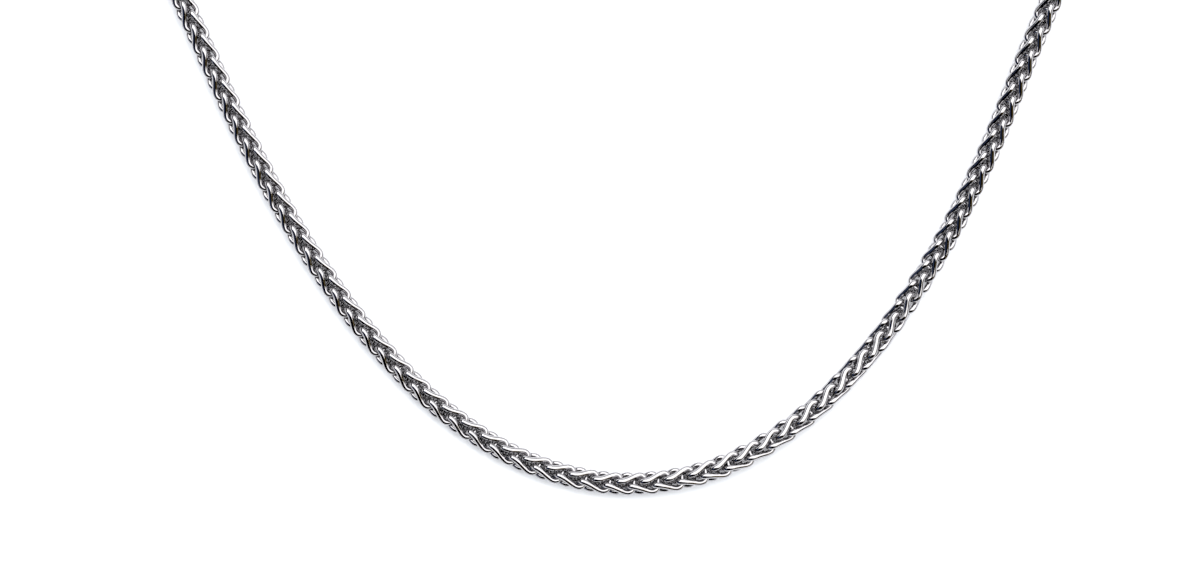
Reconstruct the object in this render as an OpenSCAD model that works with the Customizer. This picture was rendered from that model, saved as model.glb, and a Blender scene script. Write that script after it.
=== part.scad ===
// Wheat chain necklace, lying flat as a closed loop, in millimetres.
// The front of the loop is at -Y, the clasp at +Y, and the surface it lies on is Z = 0.

/* [Chain] */
// Width of the chain across its links
chain_w = 3; // [2.4:0.1:3.6]
// Number of flat sides on each length of chain
chain_sides = 8; // [8:4:12]

/* [End caps] */
// Depth of the cup that holds the end of the chain
cup_depth = 4; // [3:0.25:5]
// Thickness of the cup's wall
cup_wall = 0.35; // [0.25:0.05:0.6]
// Space round the chain inside the cup
cup_clearance = 0.1; // [0.1:0.02:0.2]
// Thickness of metal between the cup and the tip of the cap
cap_floor = 1.4; // [1:0.1:2]
// Height of the dome at the tip of the cap
dome_h = 1.1; // [0.6:0.1:1.4]
// Wire of the cap's eye
cap_eye_wire = 0.8; // [0.6:0.05:1]

/* [Clasp] */
// Wire of the clasp's front loop
loop_wire = 1.4; // [1:0.1:1.6]
// Space beside the cap's eye inside the front loop
loop_side = 0.8; // [0.5:0.1:1.2]
// Straight length of the front loop's sides
loop_straight = 2; // [1:0.25:4]
// Diameter of the clasp's body
body_d = 3.8; // [3:0.1:4.2]
// Length of the clasp's body
body_l = 3.6; // [2.5:0.1:5]
// Rounding of the body's edges
body_round = 0.7; // [0.3:0.05:0.75]
// Wire of the clasp's rear eye
rear_eye_wire = 0.9; // [0.7:0.05:1.1]

/* [Fit] */
// Space kept between two loops that hold each other
loop_gap = 0.15; // [0.1:0.01:0.25]
// Travel left between two loops that hold each other
loop_play = 0.3; // [0.1:0.05:0.6]
// Depth by which an eye is sunk into the metal that carries it
eye_sink = 0.5; // [0.3:0.05:0.6]

/* [Hidden] */
$fn = 64;

// Radii and heights of the chain and its caps
chain_half = chain_w / 2;
chain_r = chain_half / cos(180 / chain_sides);
cup_r = chain_r + cup_clearance;
cap_r = cup_r + cup_wall;
cap_len = cap_floor + cup_depth;
// Length by which the cup's bore is cut past its mouth
cut_past = 1;

// Eyes and loops that hold each other
cap_eye_bore = max(loop_wire, rear_eye_wire) + 2 * loop_gap + loop_play;
cap_eye_r = (cap_eye_bore + cap_eye_wire) / 2;
rear_eye_bore = cap_eye_wire + 2 * loop_gap + loop_play;
rear_eye_r = (rear_eye_bore + rear_eye_wire) / 2;
loop_r = (cap_eye_wire + 2 * loop_side + loop_wire) / 2;

// Height of the caps and clasp, of which the thickest lies on the surface, and the chain's rise up to it
axis_z = max(cap_r, cap_eye_r + cap_eye_wire / 2, body_d / 2);
rise = axis_z - chain_half;

// Places along the clasp, from its overall middle
clasp_l = 2 * rear_eye_r + rear_eye_wire - eye_sink + body_l + loop_straight + 2 * loop_r + loop_wire / 2;
clasp_half = clasp_l / 2;
rear_eye_x = rear_eye_r + rear_eye_wire / 2 - clasp_half;
body_x = rear_eye_x + rear_eye_r + rear_eye_wire / 2 - eye_sink + body_l / 2;
loop_front_x = clasp_half - loop_wire / 2 - loop_r;
loop_rear_x = loop_front_x - loop_straight;

// Places of the caps' eyes, the caps' tips and the ends of the chain, on the left and on the right
eye_left_x = rear_eye_x - rear_eye_r - (cap_eye_bore - rear_eye_wire) / 2 + loop_gap;
eye_right_x = loop_front_x + loop_r + (cap_eye_bore - loop_wire) / 2 - loop_gap;
tip_from_eye = cap_eye_r + cap_eye_wire / 2 - eye_sink;
end_from_eye = tip_from_eye + cap_floor + cup_clearance;
lead_from_eye = tip_from_eye + cap_len + cup_clearance;

// Route of the chain: x, y, and the share of the rise up to the caps.
// Between the two lead points it is a list of chosen points, taken from the left end round the front.
X = 0;
Y = 1;
SHARE = 2;
back_y = 87.5;
chosen_route = [
    [-20, 87, 0.2], [-28, 85, 0], [-41, 78.5, 0], [-53, 68.5, 0], [-62.5, 56, 0], [-68.5, 42, 0],
    [-71, 27, 0], [-70, 11.5, 0], [-66.5, -3.5, 0], [-60.5, -18, 0], [-54.5, -31.5, 0], [-49, -43.5, 0],
    [-41, -58, 0], [-32, -70.5, 0], [-23, -79.5, 0], [-11.5, -86.5, 0], [-1.5, -89, 0],
    [11.5, -87.5, 0], [24.5, -80, 0], [32, -72.5, 0], [40.5, -60.5, 0], [47, -48, 0], [54, -31, 0],
    [59, -19.5, 0], [65.5, -4, 0], [69.5, 11, 0], [71, 27, 0], [68.5, 42, 0], [62.5, 56, 0],
    [53, 68.5, 0], [41, 78.5, 0], [28, 85, 0], [20, 87, 0.2]
];
route = concat(
    [[eye_left_x - end_from_eye, back_y, 1], [eye_left_x - lead_from_eye, back_y, 1]],
    chosen_route,
    [[eye_right_x + lead_from_eye, back_y, 1], [eye_right_x + end_from_eye, back_y, 1]]
);
route_last = len(route) - 1;
route_middle = route_last / 2;
rings_per_stretch = 2;

function flat(p) = [p[X], p[Y]];
function chord(i) = flat(route[i + 1]) - flat(route[i]);
function unit(v) = v / norm(v);
// Direction of the route at one of its points, nearer that of the shorter stretch
function heading(i) =
    i == 0 ? unit(chord(0)) :
    i == route_last ? unit(chord(route_last - 1)) :
    (unit(chord(i)) * norm(chord(i - 1)) + unit(chord(i - 1)) * norm(chord(i)))
        / (norm(chord(i - 1)) + norm(chord(i)));
// Smooth curve between point i and the next one, for t from 0 to 1
function on_route(i, t) =
    (1 + 2 * t) * pow(1 - t, 2) * flat(route[i]) + t * pow(1 - t, 2) * norm(chord(i)) * heading(i)
    + t * t * (3 - 2 * t) * flat(route[i + 1]) + t * t * (t - 1) * norm(chord(i)) * heading(i + 1);
function travel(i, t) =
    6 * t * (t - 1) * (flat(route[i]) - flat(route[i + 1]))
    + norm(chord(i)) * ((1 - t) * (1 - 3 * t) * heading(i) + t * (3 * t - 2) * heading(i + 1));
function share_at(i, t) = route[i][SHARE] + (route[i + 1][SHARE] - route[i][SHARE]) * t * t * (3 - 2 * t);
// One ring of corners round the route, with a flat side down
function ring(i, t) = let (
        c = on_route(i, t),
        d = unit(travel(i, t)),
        z = chain_half + rise * share_at(i, t)
    )
    [for (k = [0 : chain_sides - 1]) let (a = 360 * (k + 0.5) / chain_sides)
        [c[X] + d[Y] * chain_r * cos(a), c[Y] - d[X] * chain_r * cos(a), z + chain_r * sin(a)]];

// A length of chain from one point of the route to another
module chain_length(first, last) {
    rings = concat(
        [for (i = [first : last - 1], j = [0 : rings_per_stretch - 1]) ring(i, j / rings_per_stretch)],
        [ring(last - 1, 1)]
    );
    n = chain_sides;
    top = len(rings) - 1;
    corners = [for (r = rings) each r];
    sides = [for (r = [0 : top - 1], k = [0 : n - 1]) let (
            a = r * n + k,
            b = r * n + (k + 1) % n
        ) each [[a, b, b + n], [a, b + n, a + n]]];
    ends = [[for (k = [n - 1 : -1 : 0]) k], [for (k = [0 : n - 1]) top * n + k]];
    polyhedron(points = corners, faces = concat(sides, ends), convexity = 10);
}

// A ring of round wire, with its axis along Z
module wire_ring(mean_r, wire) {
    rotate_extrude()
        translate([mean_r, 0])
            circle(d = wire);
}

// Half of a ring of round wire, on the side of +X
module wire_arch(mean_r, wire) {
    rotate([0, 0, -90])
        rotate_extrude(angle = 180)
            translate([mean_r, 0])
                circle(d = wire);
}

// Outline of the cap from its domed tip at 0 to its mouth, turned about its axis
module cap_profile() {
    dome_r = (cap_r * cap_r + dome_h * dome_h) / (2 * dome_h);
    translate([0, dome_h])
        square([cap_r, cap_len - dome_h]);
    intersection() {
        translate([0, dome_r])
            circle(r = dome_r);
        square([cap_r, dome_h]);
    }
}

// An end cap with its eye at 0 and its cup open towards +X
module end_cap() {
    difference() {
        translate([tip_from_eye, 0, 0])
            rotate([0, 90, 0])
                rotate_extrude()
                    cap_profile();
        translate([tip_from_eye + cap_floor, 0, 0])
            rotate([0, 90, 0])
                cylinder(r = cup_r, h = cup_depth + cut_past);
    }
    rotate([90, 0, 0])
        wire_ring(cap_eye_r, cap_eye_wire);
}

// Half outline of the clasp's body
module body_profile() {
    square([body_d / 2 - body_round, body_l]);
    translate([0, body_round])
        square([body_d / 2, body_l - 2 * body_round]);
    for (y = [body_round, body_l - body_round])
        translate([body_d / 2 - body_round, y])
            circle(r = body_round);
}

module chain_left() {
    color("silver")
        chain_length(0, route_middle);
}

module chain_right() {
    color("silver")
        chain_length(route_middle, route_last);
}

module end_cap_left() {
    color("gainsboro")
        translate([eye_left_x, back_y, axis_z])
            mirror([1, 0, 0])
                end_cap();
}

module end_cap_right() {
    color("gainsboro")
        translate([eye_right_x, back_y, axis_z])
            end_cap();
}

// The clasp: a rear eye, a rounded body and a closed front loop, all one piece
module clasp() {
    color("lightgray")
        translate([0, back_y, axis_z]) {
            translate([rear_eye_x, 0, 0])
                wire_ring(rear_eye_r, rear_eye_wire);
            translate([body_x - body_l / 2, 0, 0])
                rotate([0, 90, 0])
                    rotate_extrude()
                        body_profile();
            translate([loop_front_x, 0, 0])
                wire_arch(loop_r, loop_wire);
            translate([loop_rear_x, 0, 0])
                mirror([1, 0, 0])
                    wire_arch(loop_r, loop_wire);
            for (y = [-loop_r, loop_r])
                translate([loop_rear_x, y, 0])
                    rotate([0, 90, 0])
                        cylinder(d = loop_wire, h = loop_straight);
        }
}

chain_left();
chain_right();
end_cap_left();
end_cap_right();
clasp();
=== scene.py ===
import math

import bpy
import numpy as np
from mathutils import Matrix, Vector


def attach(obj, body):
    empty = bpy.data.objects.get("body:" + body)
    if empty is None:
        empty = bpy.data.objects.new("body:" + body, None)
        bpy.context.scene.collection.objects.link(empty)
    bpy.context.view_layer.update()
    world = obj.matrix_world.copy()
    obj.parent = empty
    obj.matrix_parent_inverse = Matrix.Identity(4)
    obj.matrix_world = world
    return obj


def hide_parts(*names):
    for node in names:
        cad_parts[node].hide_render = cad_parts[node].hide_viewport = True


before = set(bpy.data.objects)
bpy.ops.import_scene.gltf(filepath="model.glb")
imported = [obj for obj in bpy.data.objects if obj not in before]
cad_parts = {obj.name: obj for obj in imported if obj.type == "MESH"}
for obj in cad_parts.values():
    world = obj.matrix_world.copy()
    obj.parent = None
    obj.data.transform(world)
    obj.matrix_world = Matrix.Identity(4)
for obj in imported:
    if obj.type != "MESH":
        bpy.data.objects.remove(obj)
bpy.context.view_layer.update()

# Lengths of the chain are in mm, and this turns them into metres
MM = 0.001

# Route of the chain: the same points as in the part's source, x, y and the share of the rise up to the caps
CUP_DEPTH = 4
BACK_Y = 87.5
LEFT_END_X = -9.15
RIGHT_END_X = 8.65
LEFT_LEAD_X = LEFT_END_X - CUP_DEPTH
RIGHT_LEAD_X = RIGHT_END_X + CUP_DEPTH
CHOSEN_ROUTE = [
    (-20, 87, 0.2), (-28, 85, 0), (-41, 78.5, 0), (-53, 68.5, 0), (-62.5, 56, 0), (-68.5, 42, 0),
    (-71, 27, 0), (-70, 11.5, 0), (-66.5, -3.5, 0), (-60.5, -18, 0), (-54.5, -31.5, 0), (-49, -43.5, 0),
    (-41, -58, 0), (-32, -70.5, 0), (-23, -79.5, 0), (-11.5, -86.5, 0), (-1.5, -89, 0),
    (11.5, -87.5, 0), (24.5, -80, 0), (32, -72.5, 0), (40.5, -60.5, 0), (47, -48, 0), (54, -31, 0),
    (59, -19.5, 0), (65.5, -4, 0), (69.5, 11, 0), (71, 27, 0), (68.5, 42, 0), (62.5, 56, 0),
    (53, 68.5, 0), (41, 78.5, 0), (28, 85, 0), (20, 87, 0.2),
]
ROUTE = np.array(
    [(LEFT_END_X, BACK_Y, 1), (LEFT_LEAD_X, BACK_Y, 1)]
    + CHOSEN_ROUTE
    + [(RIGHT_LEAD_X, BACK_Y, 1), (RIGHT_END_X, BACK_Y, 1)],
    dtype=float,
)
MIDDLE_POINT = (len(ROUTE) - 1) // 2
STEPS_PER_STRETCH = 200
# Height of the caps' axis above the surface
AXIS_Z_AT_CAPS = 2.074


def route_line():
    """Fine points along the route, with the share of the rise and the length so far."""
    points = ROUTE[:, :2]
    share = ROUTE[:, 2]
    chords = np.diff(points, axis=0)
    lengths = np.linalg.norm(chords, axis=1)
    units = chords / lengths[:, None]
    before = lengths[:-1, None]
    after = lengths[1:, None]
    inner = (units[1:] * before + units[:-1] * after) / (before + after)
    headings = np.vstack([units[:1], inner, units[-1:]])
    t = np.arange(STEPS_PER_STRETCH)[:, None] / STEPS_PER_STRETCH
    eased = t[:, 0] ** 2 * (3 - 2 * t[:, 0])
    line = []
    shares = []
    for i, length in enumerate(lengths):
        line.append(
            (1 + 2 * t) * (1 - t) ** 2 * points[i]
            + t * (1 - t) ** 2 * length * headings[i]
            + t * t * (3 - 2 * t) * points[i + 1]
            + t * t * (t - 1) * length * headings[i + 1]
        )
        shares.append(share[i] + (share[i + 1] - share[i]) * eased)
    line = np.vstack(line + [points[-1:]])
    shares = np.concatenate(shares + [share[-1:]])
    steps = np.linalg.norm(np.diff(line, axis=0), axis=1)
    return line, shares, np.concatenate([[0], np.cumsum(steps)])


LINE, LINE_SHARE, LINE_LENGTH = route_line()
CHAIN_LENGTH = LINE_LENGTH[-1]
LINE_TRAVEL = np.gradient(LINE, LINE_LENGTH, axis=0)
LINE_TRAVEL /= np.linalg.norm(LINE_TRAVEL, axis=1)[:, None]

# Wheat links: the wire, the distance from link to link and the first link's place
WIRE = 0.77
LINK_SPACING = 1.6055
FIRST_LINK = 2.7
# A link's middle line: width, twist and length, each as a wave and a finer wave on top
LINK_WIDTH_WAVES = (1.195, -0.164)
LINK_TWIST_WAVES = (0.540, 0.082)
LINK_LENGTH_WAVES = (2.084, 0.077)
# How much each direction counts in the choice of the side of the wire that faces out
OUTWARD_WEIGHTS = (1, 1, 0.5)
LINK_STEPS = 48
WIRE_SIDES = 12
# Step along the middle line over which its direction is measured
SMALL_STEP = 1e-4
# Space kept between the lowest wires and the surface
REST_GAP = 0.001

# Roll of the chain about its own line, in degrees, at lengths from its left end
ROLLS = [
    (0, 124), (160, 124), (180, 126), (215, 130), (240, 136), (252, 142), (262, 158), (270, 167),
    (280, 180), (288, 198), (293, 208), (302, 215), (312, 219), (319, 221), (482, 221),
]
# How far the chain has slid along its line where its links lie closer, at lengths from its left end
SLIPS = [
    (0, 0), (150, -0.2), (168, 0), (190, 0.2), (215, 0.15), (230, 0), (255, -0.4), (270, -0.65),
    (285, -0.95), (300, -1.2), (322, -1.1), (400, 0), (482, 0),
]


def waves(sizes, wave, finer_wave):
    return sizes[0] * wave + sizes[1] * finer_wave


def link_line(t):
    """Points of a link's middle line, for angles t once round it."""
    width = waves(LINK_WIDTH_WAVES, np.cos(t), np.cos(3 * t))
    twist = waves(LINK_TWIST_WAVES, np.sin(2 * t), np.sin(4 * t))
    length = waves(LINK_LENGTH_WAVES, np.sin(t), np.sin(3 * t))
    return np.stack([width, twist, length], axis=1)


def link_shape():
    """One link about its own middle, its length along Z: a ring of wire that twists once round."""
    t = np.linspace(0, 2 * math.pi, LINK_STEPS, endpoint=False)
    middle = link_line(t)
    along = link_line(t + SMALL_STEP) - link_line(t - SMALL_STEP)
    along /= np.linalg.norm(along, axis=1)[:, None]
    outward = middle * OUTWARD_WEIGHTS
    outward -= (outward * along).sum(axis=1)[:, None] * along
    outward /= np.linalg.norm(outward, axis=1)[:, None]
    across = np.cross(along, outward)
    angle = np.arange(WIRE_SIDES) * 2 * math.pi / WIRE_SIDES
    verts = (
        middle[:, None]
        + WIRE / 2 * np.cos(angle)[None, :, None] * outward[:, None]
        + WIRE / 2 * np.sin(angle)[None, :, None] * across[:, None]
    ).reshape(-1, 3)
    step, side = np.meshgrid(np.arange(LINK_STEPS), np.arange(WIRE_SIDES), indexing="ij")
    next_step = (step + 1) % LINK_STEPS
    next_side = (side + 1) % WIRE_SIDES
    corners = [(step, side), (next_step, side), (next_step, next_side), (step, next_side)]
    faces = np.stack([ring * WIRE_SIDES + place for ring, place in corners], axis=-1).reshape(-1, 4)
    return verts, faces


# A link of the one hand, and its mirror image for every second link
LINK_VERTS, LINK_FACES = link_shape()
MIRRORED_VERTS = LINK_VERTS[:, [1, 0, 2]]
MIRRORED_FACES = LINK_FACES[:, ::-1]


def depth_below_line(roll):
    """How far the links reach below the line at a roll in radians."""
    both = np.vstack([LINK_VERTS, MIRRORED_VERTS])
    return -(both[:, 0] * math.sin(roll) + both[:, 1] * math.cos(roll)).min()


# Depths for each whole degree of roll
ROLL_STEPS = np.radians(np.arange(361))
ROLL_DEPTHS = np.array([depth_below_line(roll) for roll in ROLL_STEPS])


def at_lengths(length, table):
    """Values between those of a table of lengths and values."""
    return np.interp(length, *zip(*table))


def on_line(place, values):
    """Values between those of the fine points along the route."""
    return np.interp(place, LINE_LENGTH, values)


def on_chain(verts, at):
    """Puts a link's points on the route, with its middle at the length at, and bends them along it."""
    length = at + verts[:, 2]
    length = length + at_lengths(length, SLIPS)
    place = np.clip(length, 0, CHAIN_LENGTH)
    past = length - place
    roll = np.radians(at_lengths(place, ROLLS))
    travel = [on_line(place, LINE_TRAVEL[:, k]) for k in (0, 1)]
    travel_size = np.hypot(*travel)
    inward = [-travel[1] / travel_size, travel[0] / travel_size]
    share = on_line(place, LINE_SHARE)
    depth = np.interp(roll, ROLL_STEPS, ROLL_DEPTHS) + REST_GAP
    sideways = verts[:, 0] * np.cos(roll) - verts[:, 1] * np.sin(roll)
    upward = verts[:, 0] * np.sin(roll) + verts[:, 1] * np.cos(roll)
    x = on_line(place, LINE[:, 0]) + inward[0] * sideways + travel[0] * past
    y = on_line(place, LINE[:, 1]) + inward[1] * sideways + travel[1] * past
    z = depth + (AXIS_Z_AT_CAPS - depth) * share + upward
    return np.stack([x, y, z], axis=1)


def add_to_scene(name, data):
    obj = bpy.data.objects.new(name, data)
    bpy.context.scene.collection.objects.link(obj)
    return obj


def mesh_object(name, verts, faces):
    mesh = bpy.data.meshes.new(name)
    mesh.from_pydata(verts.tolist(), [], faces.tolist())
    mesh.polygons.foreach_set("use_smooth", [True] * len(faces))
    mesh.update()
    return add_to_scene(name, mesh)


def links(name, numbers):
    """The links with these numbers, joined in one mesh."""
    verts = []
    faces = []
    for place, number in enumerate(numbers):
        mirrored = number % 2
        shape = MIRRORED_VERTS if mirrored else LINK_VERTS
        shape_faces = MIRRORED_FACES if mirrored else LINK_FACES
        verts.append(on_chain(shape, FIRST_LINK + number * LINK_SPACING))
        faces.append(shape_faces + place * len(shape))
    return mesh_object(name, np.vstack(verts) * MM, np.vstack(faces))


# The two halves of the chain, which meet at the middle point of the route
link_count = int((CHAIN_LENGTH - 2 * FIRST_LINK) / LINK_SPACING) + 1
middle_length = LINE_LENGTH[MIDDLE_POINT * STEPS_PER_STRETCH]
left_count = int(round((middle_length - FIRST_LINK) / LINK_SPACING))
chain_left = links("chain_left_links", range(left_count))
chain_right = links("chain_right_links", range(left_count, link_count))
for piece, node in ((chain_left, "chain_left"), (chain_right, "chain_right")):
    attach(piece, "root")
    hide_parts(node)

# Materials: steel with a cloudy tone, worn patches and fine scratches
CHAIN_TONE = (0.448, 0.438, 0.45)
CLASP_TONE = (0.45, 0.443, 0.45)
CHAIN_ROUGHNESS = (0.03, 0.11)
CLASP_ROUGHNESS = (0.08, 0.22)
# Each noise has its scale, detail and roughness
CLOUD_NOISE = (900, 3, 0.55)
WEAR_NOISE = (2500, 4, 0.6)
SCRATCH_NOISE = (2200, 2, 0.5)
DULL_SHARE = 0.9
CLOUD_RANGE = (0.35, 0.65)
WEAR_RANGE = (0.3, 0.7)
SCRATCH_TURN = (0.4, 0.7, 0.9)
SCRATCH_STRETCH = (1.0, 6.0, 6.0)
SCRATCH_STRENGTH = 0.06
SCRATCH_DEPTH = 0.02 * MM
# The pale surface that the chain lies on
PAPER_NOISE = (400, 4, 0.6)
PAPER_TONES = ((0.84, 0.85, 0.87), (0.87, 0.875, 0.885))
PAPER_ROUGHNESS = 0.8
PAPER_GLOSS = 0.2


def new_material(name):
    """A material with its nodes, its wires, its shader and its place on the object."""
    material = bpy.data.materials.new(name)
    material.use_nodes = True
    tree = material.node_tree
    shader = next(node for node in tree.nodes if node.type == "BSDF_PRINCIPLED")
    place = tree.nodes.new("ShaderNodeTexCoord").outputs["Object"]
    return material, tree.nodes, tree.links, shader, place


def noise(nodes, wires, place, character):
    node = nodes.new("ShaderNodeTexNoise")
    for socket, value in zip(("Scale", "Detail", "Roughness"), character):
        node.inputs[socket].default_value = value
    wires.new(place, node.inputs["Vector"])
    return node.outputs["Fac"]


def spread(nodes, wires, value, low, high):
    """Spreads the middle range of a noise between two values."""
    node = nodes.new("ShaderNodeMapRange")
    node.inputs["From Min"].default_value = WEAR_RANGE[0]
    node.inputs["From Max"].default_value = WEAR_RANGE[1]
    node.inputs["To Min"].default_value = low
    node.inputs["To Max"].default_value = high
    wires.new(value, node.inputs["Value"])
    return node.outputs["Result"]


def blend(nodes, wires, value, tones, positions):
    """A colour between two tones."""
    node = nodes.new("ShaderNodeValToRGB")
    for stop, tone, position in zip(node.color_ramp.elements, tones, positions):
        stop.position = position
        stop.color = list(tone) + [1]
    wires.new(value, node.inputs["Fac"])
    return node.outputs["Color"]


def steel(name, tone, roughness):
    """Polished steel with a cloudy tone, worn patches and fine scratches."""
    material, nodes, wires, shader, place = new_material(name)
    dull_tone = [value * DULL_SHARE for value in tone]
    cloudy = noise(nodes, wires, place, CLOUD_NOISE)
    wires.new(blend(nodes, wires, cloudy, (dull_tone, tone), CLOUD_RANGE), shader.inputs["Base Color"])
    shader.inputs["Metallic"].default_value = 1.0
    worn = noise(nodes, wires, place, WEAR_NOISE)
    wires.new(spread(nodes, wires, worn, *roughness), shader.inputs["Roughness"])
    stretch = nodes.new("ShaderNodeMapping")
    stretch.inputs["Rotation"].default_value = SCRATCH_TURN
    stretch.inputs["Scale"].default_value = SCRATCH_STRETCH
    wires.new(place, stretch.inputs["Vector"])
    bump = nodes.new("ShaderNodeBump")
    bump.inputs["Strength"].default_value = SCRATCH_STRENGTH
    bump.inputs["Distance"].default_value = SCRATCH_DEPTH
    wires.new(noise(nodes, wires, stretch.outputs["Vector"], SCRATCH_NOISE), bump.inputs["Height"])
    wires.new(bump.outputs["Normal"], shader.inputs["Normal"])
    return material


def paper(name):
    """Matt paper with a fine grain."""
    material, nodes, wires, shader, place = new_material(name)
    grain = noise(nodes, wires, place, PAPER_NOISE)
    wires.new(blend(nodes, wires, grain, PAPER_TONES, (0, 1)), shader.inputs["Base Color"])
    shader.inputs["Roughness"].default_value = PAPER_ROUGHNESS
    shader.inputs["Specular IOR Level"].default_value = PAPER_GLOSS
    return material


chain_metal = steel("chain_steel_polished", CHAIN_TONE, CHAIN_ROUGHNESS)
clasp_metal = steel("clasp_steel_polished", CLASP_TONE, CLASP_ROUGHNESS)
chain_left.data.materials.append(chain_metal)
chain_right.data.materials.append(chain_metal)
for node in ("end_cap_left", "end_cap_right", "clasp"):
    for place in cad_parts[node].material_slots:
        place.material = clasp_metal

# Surface
FLOOR_HALF = 1.5
floor_corners = np.array([(-1, -1, 0), (1, -1, 0), (1, 1, 0), (-1, 1, 0)]) * FLOOR_HALF
floor = mesh_object("pale_floor", floor_corners, np.array([(0, 1, 2, 3)]))
floor.data.materials.append(paper("pale_surface"))

# View: the photograph is 1200 by 579 pixels, and a pixel at the chain's height covers 0.13 mm
IMAGE_WIDTH = 1200
IMAGE_HEIGHT = 579
MM_PER_PIXEL = 0.13
FRONT_PIXEL = (620, 478.9)
FRONT_Y = -88.5
CHAIN_HEIGHT = 1.5
CAMERA_DISTANCE = 0.5
SENSOR_WIDTH = 36
CLIP_RANGE = (0.01, 20)
VIEW_X = (IMAGE_WIDTH / 2 - FRONT_PIXEL[0]) * MM_PER_PIXEL
VIEW_Y = (FRONT_PIXEL[1] - IMAGE_HEIGHT / 2) * MM_PER_PIXEL + FRONT_Y
VIEW_MIDDLE = Vector((VIEW_X, VIEW_Y, CHAIN_HEIGHT)) * MM
VIEW_WIDTH = IMAGE_WIDTH * MM_PER_PIXEL * MM

# Light: each soft light has its azimuth from +X towards +Y, elevation, size in metres, power and colour
LIGHT_DISTANCE = 1.0
WHITE = (1, 1, 1)
CARD_ELEVATION = 35
CARD_SIZE = (0.7, 0.5)
CARD_POWER = 0.22
COOL = (0.35, 0.5, 1.0)
WARM = (1.0, 0.75, 0.3)
LIGHTS = [
    ("key_softbox", 62, 60, (2.5, 1.6), 33, WHITE),
    ("side_softbox", 150, 45, (0.65, 0.42), 1.3, WHITE),
    ("cool_card", 200, CARD_ELEVATION, CARD_SIZE, CARD_POWER, COOL),
    ("warm_card", -30, CARD_ELEVATION, CARD_SIZE, CARD_POWER, WARM),
]
BACKDROP_COLOUR = (0.62, 0.64, 0.67, 1)
BACKDROP_STRENGTH = 1.0


def soft_light(name, azimuth, elevation, size, power, colour):
    """A soft rectangular light aimed at the middle of the view."""
    turn = math.radians(azimuth)
    tilt = math.radians(elevation)
    away = Vector((math.cos(turn) * math.cos(tilt), math.sin(turn) * math.cos(tilt), math.sin(tilt)))
    lamp = bpy.data.lights.new(name, "AREA")
    lamp.shape = "RECTANGLE"
    lamp.size = size[0]
    lamp.size_y = size[1]
    lamp.energy = power
    lamp.color = colour
    obj = add_to_scene(name, lamp)
    obj.location = VIEW_MIDDLE + away * LIGHT_DISTANCE
    obj.rotation_euler = away.to_track_quat("Z", "Y").to_euler()


def studio():
    """Even light from a pale room, which fills the shadows, while the metal mirrors a dark room."""
    world = bpy.data.worlds.new("studio")
    bpy.context.scene.world = world
    world.use_nodes = True
    backdrop = next(node for node in world.node_tree.nodes if node.type == "BACKGROUND")
    backdrop.inputs["Color"].default_value = BACKDROP_COLOUR
    backdrop.inputs["Strength"].default_value = BACKDROP_STRENGTH
    world.cycles_visibility.glossy = False


for light in LIGHTS:
    soft_light(*light)
studio()

# Camera, which looks straight down as the photograph does
camera_data = bpy.data.cameras.new("camera")
camera_data.sensor_width = SENSOR_WIDTH
camera_data.lens = SENSOR_WIDTH * CAMERA_DISTANCE / VIEW_WIDTH
camera_data.clip_start, camera_data.clip_end = CLIP_RANGE
camera = add_to_scene("camera", camera_data)
camera.location = VIEW_MIDDLE + Vector((0, 0, CAMERA_DISTANCE))
bpy.context.scene.camera = camera
bpy.context.scene.view_settings.view_transform = "Standard"
